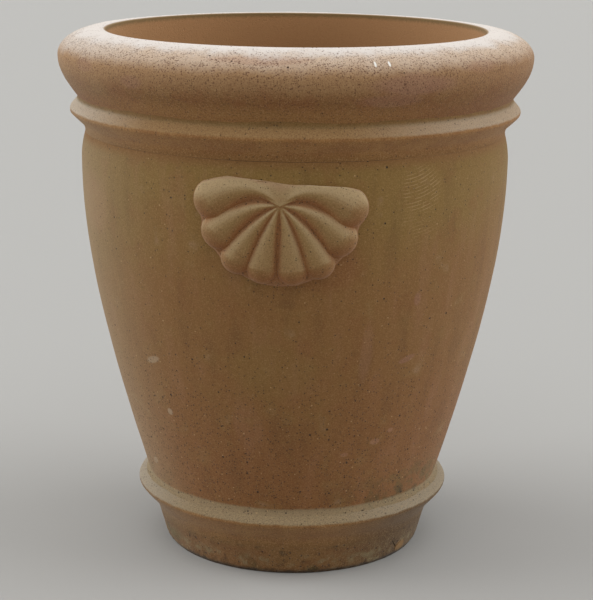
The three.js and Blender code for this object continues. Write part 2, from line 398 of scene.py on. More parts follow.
def lower_band_ring():
    """The band that covers the joint between foot and wall."""
    nose_top = BAND_TOP - BAND_NOSE_DROP
    section = [
        (BAND_SEAT_RADIUS, BAND_BASE),
        (FOOT_RADIUS + FOOT_FLARE, BAND_BASE),
        BAND_COVE,
        (BAND_RADIUS, nose_top - BAND_NOSE),
        (BAND_RADIUS, nose_top),
        (WALL_FOOT_RADIUS, BAND_TOP),
        (BAND_SEAT_RADIUS, BAND_TOP),
    ]
    eased = [(BAND_COVE, 8 * MM), (section[3], 1.8 * MM), (section[4], 2.6 * MM)]
    outside = lambda spot: reach_of(spot) > FOOT_RADIUS
    shaped = lambda spot: outside(spot) * min(1, (spot.z - BAND_BASE) / (8 * MM))
    band = turn("lower_band_ring", section, 2 * MM, eased, outside)
    edge = lambda spot: near(reach_of(spot), BAND_RADIUS, 5 * MM)
    wear(band, "band_waves", 0.7 * MM, 45 * MM, shaped)
    wear(band, "band_chips", 0.7 * MM, 4 * MM, edge)
    return band


def barrel_body():
    """The barrel wall, flared a little where it runs out on the lower band."""
    cove = (WALL_FOOT_RADIUS, WALL_FOOT + 0.4 * MM)
    cove_top = WALL_FOOT + WALL_COVE_HEIGHT
    rise = COLLAR_BASE - cove_top
    levels = lambda count: (cove_top + rise * step / count for step in range(count + 1))
    section = [
        (WALL_FOOT_RADIUS + 2 * WALL_COVE, WALL_FOOT - 1.6 * WALL_COVE),
        cove,
        *((wall_radius(level), level) for level in levels(OUTER_LEVELS)),
        (COLLAR_SEAT_RADIUS - MM, COLLAR_BASE),
        (COLLAR_SEAT_RADIUS - MM, RIM_BASE),
        (mouth_radius, RIM_BASE),
        *((wall_inner_radius(level), level) for level in reversed(list(levels(INNER_LEVELS)))),
        (FOOT_INNER_RADIUS, WALL_FOOT),
        (WALL_FOOT_RADIUS, WALL_FOOT - 1.6 * WALL_COVE),
    ]
    outside = lambda spot: reach_of(spot) > wall_radius(spot.z) - 5 * MM and BAND_TOP < spot.z < COLLAR_BASE
    barrel = turn("barrel_body", section, 6 * MM, [(cove, 4 * MM)], outside)
    wear(barrel, "wall_waves", 0.7 * MM, 70 * MM, outside)
    return barrel


def collar_ring():
    """The sloping collar under the rim."""
    nose_top = COLLAR_TOP - COLLAR_NOSE_DROP
    corner = (COLLAR_TOP_RADIUS, COLLAR_TOP)
    section = [
        (COLLAR_SEAT_RADIUS, COLLAR_BASE),
        (neck_radius, COLLAR_BASE),
        (neck_radius, COLLAR_BASE + COLLAR_HEEL),
        (COLLAR_RADIUS, nose_top - COLLAR_NOSE),
        (COLLAR_RADIUS, nose_top),
        corner,
        (COLLAR_TOP_RADIUS + 0.45 * COLLAR_FILLET, COLLAR_TOP + COLLAR_FILLET),
        (COLLAR_TOP_RADIUS - MM, COLLAR_TOP + MM),
        (COLLAR_SEAT_RADIUS, COLLAR_TOP),
    ]
    eased = [(section[2], 6.5 * MM), (section[3], 1.8 * MM), (section[4], 2.2 * MM), (corner, 5 * MM)]
    outside = lambda spot: reach_of(spot) > neck_radius
    shaped = lambda spot: outside(spot) * min(1, (spot.z - COLLAR_BASE) / (8 * MM))
    collar = turn("collar_ring", section, 2.2 * MM, eased, outside)
    edge = lambda spot: near(reach_of(spot), COLLAR_RADIUS, 5 * MM)
    wear(collar, "collar_waves", 0.8 * MM, 55 * MM, shaped)
    wear(collar, "collar_chips", 0.6 * MM, 4 * MM, edge)
    return collar


def bezier(corners, share):
    """A point of the cubic curve with these four corners."""
    weights = [math.comb(3, index) * share**index * (1 - share) ** (3 - index) for index in range(4)]
    return tuple(sum(weight * corner[axis] for weight, corner in zip(weights, corners)) for axis in (0, 1))


def quarter(centre, width, height, start, steps):
    """Points of a quarter ellipse, from this quarter turn onwards and without its first point."""
    turns = [(start + step / steps) * math.pi / 2 for step in range(1, steps + 1)]
    return [(centre[0] + width * math.cos(a), centre[1] + height * math.sin(a)) for a in turns]


def rolled_rim():
    """The thick rolled rim, from the collar over the crest to the mouth."""
    widest = POT_TOP - RIM_CROWN
    crest_radius = RIM_RADIUS - RIM_CROWN_WIDTH
    roll = [
        (COLLAR_TOP_RADIUS, RIM_BASE),
        (COLLAR_TOP_RADIUS + RIM_LEAN * RIM_TUCK, RIM_BASE + RIM_TUCK),
        (RIM_RADIUS, widest - RIM_SHOULDER),
        (RIM_RADIUS, widest),
    ]
    lip_run = crest_radius - mouth_radius
    section = [
        (mouth_radius, RIM_BASE),
        *(bezier(roll, step / ROLL_STEPS) for step in range(ROLL_STEPS + 1)),
        *quarter((crest_radius, widest), RIM_CROWN_WIDTH, RIM_CROWN, 0, CROWN_STEPS),
        *quarter((crest_radius, POT_TOP - LIP_ROUND), lip_run, LIP_ROUND, 1, LIP_STEPS),
    ]
    outside = lambda spot: reach_of(spot) > crest_radius - 4 * MM and spot.z > RIM_BASE + 2 * MM
    rim = turn("rolled_rim_ring", section, 2.6 * MM, worked=outside)
    wear(rim, "rim_waves", 1.2 * MM, 80 * MM, outside)
    wear(rim, "rim_crust", 0.5 * MM, 9 * MM, outside)
    return rim


# ---- Pressed shell -----------------------------------------------------------------------------


def lay_knot(knot, place, outwards):
    """Puts a knot of a curve at its place, with even handles on both sides."""
    knot.handle_left_type = knot.handle_right_type = "FREE"
    knot.co, knot.handle_left, knot.handle_right = place, place - outwards, place + outwards


def lobe(index):
    """One lobe to the right of the hub, on the flattened wall: XY is the wall and Z is its relief."""
    reach, bow = LOBE_REACHES[index], LOBE_BOWS[index]
    bearing = math.radians(LOBE_BEARINGS[index])
    along = Vector((math.sin(bearing), -math.cos(bearing), 0))
    upwards = Vector((math.cos(bearing), math.sin(bearing), 0))
    middle = along * (SHELL_BOW_PLACE * reach) + upwards * (2 * bow)
    end = along * reach

    clear_selection()
    bpy.ops.curve.primitive_bezier_curve_add()
    spine = bpy.context.object
    spine.data.dimensions = "2D"
    spine.data.resolution_u = 48
    spline = spine.data.splines[0]
    onwards = (end - middle) * (2 / 3)
    lay_knot(spline.bezier_points[0], Vector(), middle * (2 / 3))
    lay_knot(spline.bezier_points[1], end, onwards)
    length = spline.calc_length()
    spline.bezier_points.add(1)
    lay_knot(spline.bezier_points[2], end + onwards * 2, onwards)

    hub_radius, end_radius = SHELL_HUB_WIDTH / 2, LOBE_END_WIDTHS[index] / 2
    stations = []
    for step in range(LOBE_STEPS + 1):
        share = step / LOBE_STEPS
        half_width = hub_radius + (end_radius - hub_radius) * share ** LOBE_TAPERS[index]
        crest = SHELL_HUB_RELIEF + (LOBE_RELIEF - SHELL_HUB_RELIEF) * share
        stations.append((share * length, half_width, crest))
    for step in range(1, LOBE_END_STEPS):
        turned = step / LOBE_END_STEPS * math.pi / 2
        shrink = math.cos(turned)
        stations.append((length + end_radius * math.sin(turned), end_radius * shrink, LOBE_RELIEF * shrink))

    clear_selection()
    bpy.ops.mesh.primitive_circle_add(
        vertices=LOBE_SIDES, radius=hub_radius, fill_type="NGON", rotation=(0, math.pi / 2, 0)
    )
    body = bpy.context.object
    bpy.ops.object.transform_apply(rotation=True)
    bpy.ops.object.mode_set(mode="EDIT")
    bpy.ops.transform.resize(value=(1, 1, SHELL_HUB_RELIEF / hub_radius), center_override=(0, 0, 0))
    for (place, width, crest), (next_place, next_width, next_crest) in zip(stations, stations[1:]):
        bpy.ops.mesh.extrude_region_move(TRANSFORM_OT_translate={"value": (next_place - place, 0, 0)})
        bpy.ops.transform.resize(
            value=(1, next_width / width, next_crest / crest), center_override=(next_place, 0, 0)
        )
    bpy.ops.mesh.select_all(action="SELECT")
    bpy.ops.mesh.normals_make_consistent(inside=False)
    close_up()
    apply_modifier(body, "CURVE", object=spine, deform_axis="POS_X")
    bpy.data.objects.remove(spine)
    open_up()
    bpy.ops.mesh.bisect(
        plane_co=(0, 0, -SHELL_BACKING), plane_no=(0, 0, 1), clear_inner=True, use_fill=True
    )
    return close_up()


def web():
    """The web from the hub to the top edge: flush with the top lobes, and fading in the middle."""
    middle = (0, SHELL_WEB_REACH / 2, (WEB_CORNER_RELIEF - SHELL_BACKING) / 2)
    block(middle, (SHELL_WEB_WIDTH, SHELL_WEB_REACH, WEB_CORNER_RELIEF + SHELL_BACKING))
    open_up()
    bpy.ops.mesh.bisect(plane_co=(0, 0, 0), plane_no=(1, 0, 0))
    choose(lambda spot: spot.y < MM)
    bpy.ops.transform.resize(value=(SHELL_HUB_WIDTH / SHELL_WEB_WIDTH, 1, 1), center_override=(0, 0, 0))
    choose(lambda spot: spot.y < MM and spot.z > 0)
    bpy.ops.transform.translate(value=(0, 0, WEB_HUB_RELIEF - WEB_CORNER_RELIEF))
    choose(lambda spot: spot.y > MM and spot.z > 0 and abs(spot.x) < MM)
    bpy.ops.transform.translate(value=(0, 0, WEB_EDGE_RELIEF - WEB_CORNER_RELIEF))
    return close_up()


def backing():
    """The thin patch of clay behind the lobes, which runs out into the wall."""
    return block((0, BACKING_MIDDLE, -SHELL_BACKING / 2), (*BACKING_SIZE, SHELL_BACKING))


def fan_floor():
    """The low floor of the fan, which shows between the ends of the lobes."""
    clear_selection()
    thickness = FAN_FLOOR_RELIEF + SHELL_BACKING
    middle = (0, 0, FAN_FLOOR_RELIEF - thickness / 2)
    bpy.ops.mesh.primitive_cylinder_add(
        vertices=96, radius=FAN_FLOOR_RADIUS, depth=thickness, location=middle
    )
    bpy.ops.object.transform_apply(location=True)
    open_up()
    bpy.ops.mesh.bisect(plane_co=(0, FAN_FLOOR_TOP, 0), plane_no=(0, 1, 0), clear_outer=True, use_fill=True)
    return close_up()


def laid_on_wall(spot):
    """Where a point of the flat shell lies on the wall: tilted, then wrapped round the barrel."""
    tilt = math.radians(-SHELL_TILT)
    across = spot.x * math.cos(tilt) - spot.y * math.sin(tilt)
    level = hub_height + spot.x * math.sin(tilt) + spot.y * math.cos(tilt)
    radius = wall_radius(level) + spot.z - SHELL_SINK
    turned = across / BELLY_RADIUS
    return (radius * math.sin(turned), -radius * math.cos(turned), level)


def pressed_shell(name):
    """The shell on the front: four lobes and their mirror images, webbed, joined, softened and laid on."""
    lobes = [lobe(index) for index in range(len(LOBE_REACHES))]
    for each in lobes:
        apply_modifier(each, "MIRROR", use_mirror_merge=False)
    parts = [backing(), fan_floor(), web(), *lobes]
    clear_selection()
    for part in parts:
        part.select_set(True)
    bpy.context.view_layer.objects.active = parts[0]
    bpy.ops.object.join()
    shell = bpy.context.object
    apply_modifier(shell, "REMESH", mode="VOXEL", voxel_size=SHELL_GRAIN)
    trim_top(shell)
    apply_modifier(shell, "SMOOTH", factor=0.5, iterations=SHELL_SOFTENING)
    soften(shell, "fillet", FILLET_SOFTENING, lambda spot: near(spot.z, 0, FILLET_HEIGHT) ** 0.5)
    soften(shell, "web", WEB_SOFTENING, web_weight)
    for corner in shell.data.vertices:
        corner.co = laid_on_wall(corner.co)
    apply_modifier(shell, "DECIMATE", ratio=min(1, SHELL_TRIANGLES / (2 * len(shell.data.polygons))))
    shell.name = shell.data.name = name
    pick(shell)
    bpy.ops.object.shade_smooth()
    return shell


def trim_top(shell):
    """Cuts the shell's top edge straight, with a slight lean."""
    lean = math.radians(SHELL_TOP_SLOPE)
    pick(shell)
    open_up()
    bpy.ops.mesh.bisect(
        plane_co=(0, SHELL_TOP_EDGE, 0),
        plane_no=(math.sin(lean), math.cos(lean), 0),
        clear_outer=True,
        use_fill=True,
    )
    bpy.ops.mesh.select_all(action="SELECT")
    bpy.ops.mesh.quads_convert_to_tris()
    close_up()


def web_weight(spot):
    """1 on the web and the top lobes' upper sides, falling to 0 at their crests."""
    crest_line = LOBE_BOWS[0] * min(1, abs(spot.x) / (0.4 * LOBE_REACHES[0])) + 4 * MM
    return min(1, max(0, (spot.y - crest_line) / (6 * MM))) * near(spot.x, 0, 70 * MM) ** 0.3


def soften(shell, name, rounds, where):
    """Smooths the shell where the weight says, as slip and a wet finger do."""
    weigh(shell, name, where)
    apply_modifier(shell, "SMOOTH", factor=0.5, iterations=rounds, vertex_group=name)


def rear_copy(shell, name):
    """The same shell on the back of the pot, with a mesh of its own."""
    pick(shell)
    bpy.ops.object.duplicate()
    copy = bpy.context.object
    bpy.ops.transform.rotate(value=math.pi, orient_axis="Z", center_override=(0, 0, 0))
    bpy.ops.object.transform_apply(location=True, rotation=True)
    copy.name = copy.data.name = name
    return copy


# ---- Finishes ----------------------------------------------------------------------------------


class Field:
    """A number that varies over the clay. Sums written with it add the Math nodes that work them out."""

    def __init__(self, finish, socket):
        self.finish = finish
        self.socket = socket

    def __add__(self, other):
        return self.finish.math("ADD", self, other)

    def __sub__(self, other):
        return self.finish.math("SUBTRACT", self, other)

    def __rsub__(self, other):
        return self.finish.math("SUBTRACT", other, self)

    def __mul__(self, other):
        return self.finish.math("MULTIPLY", self, other)

    def __truediv__(self, other):
        return self.finish.math("DIVIDE", self, other)

    def __pow__(self, other):
        return self.finish.math("POWER", self, other)

    __radd__ = __add__
    __rmul__ = __mul__


def clay(red, green, blue):
    """A colour as a potter's chart gives it, 0 to 255, for a node."""
    linear = lambda part: part / 12.92 if part <= 0.04045 else ((part + 0.055) / 1.055) ** 2.4
    return (linear(red / 255), linear(green / 255), linear(blue / 255), 1)


class Finish:
    """One fired finish: where a point lies on the pot, the colour laid so far, and how the clay varies."""

    def __init__(self, name, tone):
        self.material = bpy.data.materials.new(name)
        self.material.use_nodes = True
        self.tree = self.material.node_tree
        self.tree.nodes.clear()
        self.colour = tone
        self.place = self.node("ShaderNodeTexCoord").outputs["Object"]
        parts = self.node("ShaderNodeSeparateXYZ", sockets={"Vector": self.place})
        self.x, self.y, self.height = (Field(self, parts.outputs[axis]) for axis in "XYZ")
        facing = self.node("ShaderNodeNewGeometry").outputs["Normal"]
        self.up = Field(self, self.node("ShaderNodeSeparateXYZ", sockets={"Vector": facing}).outputs["Z"])
        self.reach = self.math("SQRT", self.x * self.x + self.y * self.y)
        self.arc = self.math("ARCTAN2", self.x, self.y * -1) * BELLY_RADIUS
        # From the pot's middle towards its left and its right, and how much painted shade the foot's sides
        # and the band's underside take there.
        self.left = self.rise(self.x / self.reach, -0.5, -1)
        self.right = self.rise(self.x / self.reach, 0.2, 0.85)
        self.shade_sides = self.right * 0.65 + self.left * 0.35 + 0.2

    def node(self, kind, settings=None, sockets=None):
        """Any node: its settings first, then the values or links of its sockets."""
        node = self.tree.nodes.new(kind)
        for setting, value in (settings or {}).items():
            setattr(node, setting, value)
        for socket, value in (sockets or {}).items():
            if isinstance(value, Field):
                value = value.socket
            if isinstance(value, bpy.types.NodeSocket):
                self.tree.links.new(value, node.inputs[socket])
            else:
                node.inputs[socket].default_value = value
        return node

    def math(self, operation, *terms):
        """One Math node on numbers or fields."""
        node = self.node("ShaderNodeMath", {"operation": operation}, dict(enumerate(terms)))
        return Field(self, node.outputs[0])

    def rise(self, field, start, end):
        """0 up to start, 1 from end on, and a soft slope between. A start above the end gives a fall."""
        if start > end:
            return 1 - self.rise(field, end, start)
        sockets = {"Value": field, "From Min": start, "From Max": end}
        node = self.node("ShaderNodeMapRange", {"interpolation_type": "SMOOTHSTEP"}, sockets)
        return Field(self, node.outputs["Result"])

    def blend(self, share, first, second):
        """Two colours mixed by a share: 0 gives the first one."""
        sockets = {0: share, 6: first, 7: second}
        return self.node("ShaderNodeMix", {"data_type": "RGBA"}, sockets).outputs[2]

    def coat(self, share, tone):
        """Lays a tone over the finish's colour by a share from 0 to 1."""
        self.colour = self.blend(share, self.colour, tone)

    def stain(self, patches, mottle, raggedness, start):
        """Lays patches of other tones on the front, with edges that the mottle breaks up."""
        for across, level, width, height, lean, tone, share in patches:
            mask = self.patch(across, level, width, height, lean=lean)
            ragged = self.rise(mask + (mottle - 0.5) * raggedness, start, start + 0.7)
            self.coat(ragged * share, tone)

    def cloud(self, size, detail=3, roughness=0.55, stretch=(1, 1, 1), shift=(0, 0, 0)):
        """Soft cloudy variation of about this size, mostly from 0.3 to 0.7."""
        turned = self.node(
            "ShaderNodeMapping", sockets={"Vector": self.place, "Scale": stretch, "Location": shift}
        )
        sockets = {"Vector": turned.outputs[0], "Scale": 1 / size, "Detail": detail, "Roughness": roughness}
        return Field(self, self.node("ShaderNodeTexNoise", sockets=sockets).outputs[0])

    def specks(self, spacing, radius, share, shift=(0, 0, 0)):
        """Separate round specks, softly edged: only this share of the places holds one."""
        moved = self.node("ShaderNodeMapping", sockets={"Vector": self.place, "Location": shift})
        sockets = {"Vector": moved.outputs[0], "Scale": 1 / spacing}
        cells = self.node("ShaderNodeTexVoronoi", sockets=sockets)
        luck = self.node("ShaderNodeSeparateColor", sockets={"Color": cells.outputs["Color"]})
        chance, size = (Field(self, luck.outputs[index]) for index in (0, 1))
        reach = Field(self, cells.outputs["Distance"]) * spacing / (radius * (0.55 + 0.45 * size))
        held = self.rise(chance - share, 0.02, 0)
        return self.rise(reach, 1.15, 0.7) * held

    def patch(self, across, level, width, height, softness=0.8, lean=0):
        """An oval patch on the pot's front: its middle, half width and half height, in millimetres."""
        side = self.arc - across * MM
        rise = self.height - level * MM - side * lean
        distance = self.math("SQRT", (side / (width * MM)) ** 2 + (rise / (height * MM)) ** 2)
        return self.rise(distance, 1, 1 - softness)

    def finish(self, roughness, relief, depth):
        """Wires the shader: matt clay with a little dusty sheen, and fine relief."""
        bump = self.node("ShaderNodeBump", sockets={"Height": relief, "Distance": depth, "Strength": 1.0})
        sockets = {
            "Base Color": self.colour,
            "Roughness": roughness,
            "Normal": bump.outputs[0],
            "Diffuse Roughness": 0.7,
            "Specular IOR Level": 0.25,
            "Sheen Weight": 0.1,
            "Sheen Roughness": 0.5,
            "Sheen Tint": (1, 0.96, 0.88, 1),
        }
        shader = self.node("ShaderNodeBsdfPrincipled", sockets=sockets)
        self.node("ShaderNodeOutputMaterial", sockets={"Surface": shader.outputs[0]})
        return self.material


# Clays and what lies on them, as 0 to 255 tones.
TAN = clay(137, 98, 54)
OLIVE = clay(137, 108, 56)
RUST = clay(134, 88, 49)
DARK_CLAY = clay(84, 54, 30)
# Painted shade beneath the lobes and down in their grooves.
GROOVE_SHADE = clay(144, 89, 45)
RED_PIT = clay(100, 62, 40)
# The dark inside pits, holes and the crack: painted shade.
PIT_SHADE = clay(48, 31, 20)
UNDER_CLAY = clay(140, 101, 57)
# Painted shade on the foot's sides and the band's underside.
FOOT_SHADE = clay(82, 63, 41)
FOOT_FILM = clay(132, 120, 88)
CHIP_CLAY = clay(146, 108, 60)
UNDER_ROLL_CLAY = clay(156, 113, 65)
BAND_DUST = clay(148, 132, 102)
# Pale side tone of the band: dust and painted sheen.
BAND_SIDE_DUST_AND_SHEEN = clay(170, 160, 142)
COLLAR_DUST = clay(158, 125, 82)
# Pale side tone of the collar: dust and painted sheen.
COLLAR_SIDE_DUST_AND_SHEEN = clay(206, 194, 176)
PALE_GRIT = clay(190, 158, 114)
WEATHERED = clay(170, 133, 94)
PALE_CLAY = clay(206, 184, 162)
# Cream dust on the rim's top, also laid on its left shoulder as painted sheen.
CREAM_DUST_AND_SHEEN = clay(215, 207, 200)
# Laid on the pot's left side: pale dust and painted sheen.
LEFT_DUST_AND_SHEEN = clay(152, 132, 100)
PINK_BLOOM = clay(168, 124, 98)
LILAC_BLOOM = clay(156, 114, 98)
CHALK = clay(206, 192, 166)
WHITE_SPOT = clay(240, 238, 232)
# Algae, and painted shade in the creases at the tops of the collar and band.
ALGAE_AND_SHADE = clay(94, 86, 48)
# Damp stains, and painted shade deep inside the pot.
DAMP_AND_SHADE = clay(64, 47, 28)
INSIDE_CLAY = clay(171, 129, 86)
LOBE_CLAY = clay(146, 116, 72)
# Dust and painted light on the lobes' upper sides.
LOBE_DUST_AND_LIGHT = clay(182, 160, 122)


def wall_face(finish):
    """Outside radius of the barrel at a point's height, as a field."""
    drop = finish.math("MAXIMUM", belly_height - finish.height, 0)
    taper = (BELLY_RADIUS - WALL_FOOT_RADIUS) / (
        math.hypot(belly_height - WALL_FOOT, BELLY_ROUND) - BELLY_ROUND
    )
    return BELLY_RADIUS - (finish.math("SQRT", drop * drop + BELLY_ROUND**2) - BELLY_ROUND) * taper


def sand(finish, colour, strength=1.0):
    """Fine sand: lighter and darker grains of a millimetre or two."""
    grain = finish.cloud(1.6 * MM, detail=2, roughness=0.7)
    colour = finish.blend(finish.rise(grain, 0.5, 0.72) * (0.26 * strength), colour, PALE_GRIT)
    return finish.blend(finish.rise(grain, 0.5, 0.3) * (0.3 * strength), colour, DARK_CLAY)


# Marks on the barrel's front, in millimetres: across from the front shell's middle, level, half width,
# half height and lean, then the tone and how strongly it shows.
BARREL_PATCHES = [
    (50, 425, 80, 45, 0, RUST, 0.6),
    # A faint dark patch just below the front shell: painted shadow.
    (5, 380, 26, 9, 0, DARK_CLAY, 0.15),
    (-200, 285, 21, 7, 0.28, CHALK, 0.3),
    (-186, 216, 8, 7, 0, CHALK, 0.35),
    (-276, 128, 16, 8, 0.3, CHALK, 0.3),
    (150, 188, 12, 6, 0, PINK_BLOOM, 0.5),
    (175, 201, 8, 5, 0, PINK_BLOOM, 0.45),
    (100, 174, 10, 5, 0, PINK_BLOOM, 0.4),
    (180, 298, 20, 7, 0.25, LILAC_BLOOM, 0.4),
    (182, 376, 9, 14, 0, LILAC_BLOOM, 0.35),
    (115, 315, 14, 62, 0, PINK_BLOOM, 0.2),
    (-300, 470, 70, 60, 0, PINK_BLOOM, 0.3),
    (-10, 290, 95, 60, 0, OLIVE, 0.3),
]
SCRATCH_CENTRE = (148 * MM, 612 * MM)  # across and level
SCRATCH_SPACING = 4.2 * MM

# Ovals on the front, in millimetres: across, level, half width and half height.
STRONG_SCRATCHES = (176, 512, 32, 34)
FAINT_SCRATCHES = (172, 470, 34, 34)
PITS_UNDER_SHELL = (12, 404, 85, 26)


def barrel_finish():
    """Tan clay with olive above, rust below, pinholes, smears, comb scratches and a brown lining, darkened
    deeper down with painted shade.
    """
    finish = Finish("wall_clay_finish", TAN)
    broad = finish.cloud(150 * MM, detail=2)
    drift = (broad - 0.5) * 220 * MM
    upper = finish.rise(finish.height + drift, 370 * MM, 500 * MM)
    lower = finish.rise(finish.height + drift, 340 * MM, 140 * MM)
    finish.coat(upper * 0.9, OLIVE)
    finish.coat(lower * 0.75, RUST)
    streaks = finish.cloud(26 * MM, stretch=(1, 1, 0.14))
    finish.coat(finish.rise(streaks, 0.5, 0.75) * 0.18, PINK_BLOOM)
    finish.coat(finish.rise(streaks, 0.5, 0.3) * 0.18, DARK_CLAY)
    mottle = finish.cloud(34 * MM, detail=4, shift=(0.3, 0.1, 0.7))
    finish.coat(finish.rise(mottle, 0.52, 0.72) * 0.3, OLIVE)
    finish.coat(finish.rise(mottle, 0.48, 0.3) * 0.35, RUST)
    finish.stain(BARREL_PATCHES, mottle, 0.9, 0.1)
    # The left side paler and greyer: dust and painted sheen.
    finish.coat(finish.left * 0.5, LEFT_DUST_AND_SHEEN)
    under_collar = finish.rise(finish.height, COLLAR_BASE - 14 * MM, COLLAR_BASE)
    finish.coat(under_collar, UNDER_CLAY)
    blotches = finish.cloud(22 * MM, detail=4, roughness=0.7, shift=(0.7, 0.2, 0))
    growth = finish.rise(finish.height, WALL_FOOT + 70 * MM, WALL_FOOT + 5 * MM)
    growth = growth * (finish.right + finish.left * 0.4) * finish.rise(blotches, 0.42, 0.62)
    finish.coat(growth * 0.8, ALGAE_AND_SHADE)
    finish.coat(growth * finish.rise(mottle, 0.5, 0.35) * 0.6, DAMP_AND_SHADE)
    ragged_level = finish.height + (mottle - 0.5) * 5 * MM
    dusted = finish.rise(ragged_level, WALL_FOOT + 6.5 * MM, WALL_FOOT + 2.5 * MM)
    finish.coat(dusted * 0.8, BAND_DUST)
    finish.colour = sand(finish, finish.colour)

    low = finish.rise(finish.height, 360 * MM, 130 * MM)
    under_shell = finish.patch(*PITS_UNDER_SHELL)
    holes = finish.specks(11 * MM, 1.6 * MM, low * 0.4 + 0.1)
    crowded = low * 0.6 + under_shell * 0.3 + growth * 0.3 + 0.08
    pits = finish.specks(3.3 * MM, 1.1 * MM, crowded, shift=(0.11, 0.07, 0))
    grit = finish.specks(7 * MM, 1.2 * MM, low * 0.3 + 0.06, shift=(0.02, 0.31, 0))
    finish.coat(grit * 0.6, PALE_GRIT)
    # Pinholes and pits darkened with painted shade.
    finish.coat(finish.math("MAXIMUM", holes, pits * 0.75) * 0.9, PIT_SHADE)
    scratches = comb_scratches(finish)
    finish.coat(scratches * 0.5, PALE_GRIT)

    # The lining darkens deeper down: painted shade.
    deeper_shade = finish.rise(finish.height, POT_TOP - 120 * MM, 120 * MM)
    lining = finish.blend(deeper_shade * 0.6, INSIDE_CLAY, DAMP_AND_SHADE)
    inner = finish.rise(wall_face(finish) - finish.reach, 12 * MM, 16 * MM)
    finish.coat(inner, sand(finish, lining, 0.6))

    grain = finish.cloud(1.8 * MM, roughness=0.7)
    relief = grain * 0.35 + mottle * 0.8 - holes * 1.6 - pits * 0.8 - scratches * 0.35
    return finish.finish(grain * 0.12 + 0.82, relief, 0.7 * MM)


def comb_scratches(finish):
    """Fine parallel arcs, as a stiff brush leaves, rising to the right of the shell."""
    side = finish.arc - SCRATCH_CENTRE[0]
    rise = finish.height - SCRATCH_CENTRE[1]
    sweep = finish.math("SQRT", side * side + rise * rise)
    line = finish.math("PINGPONG", sweep / SCRATCH_SPACING, 0.5) * 2
    broken = finish.cloud(9 * MM, detail=2, shift=(0.5, 0.2, 0.1))
    strong = finish.patch(*STRONG_SCRATCHES, softness=0.35)
    faint = finish.patch(*FAINT_SCRATCHES, softness=0.5) * 0.4
    shown = finish.math("MAXIMUM", strong, faint)
    return finish.rise(line, 0.62, 0.95) * finish.rise(broken, 0.36, 0.56) * shown


# Bloom on the rim's front, given in the same way as the barrel's marks.
RIM_PATCHES = [
    (145, 640, 75, 20, 0, LILAC_BLOOM, 0.45),
    (120, 622, 60, 12, 0, LILAC_BLOOM, 0.3),
    (-256, 648, 30, 12, 0, LILAC_BLOOM, 0.3),
    (-172, 636, 24, 13, 0, LILAC_BLOOM, 0.3),
    (-20, 668, 90, 8, 0, PINK_BLOOM, 0.4),
    (240, 655, 40, 12, 0, PINK_BLOOM, 0.3),
]
# Two small white spots on the rim's front.
WHITE_SPOTS = [(102, 664, 1.6, 3.4), (118, 664, 1.6, 3.4)]  # across, level, half width, half height


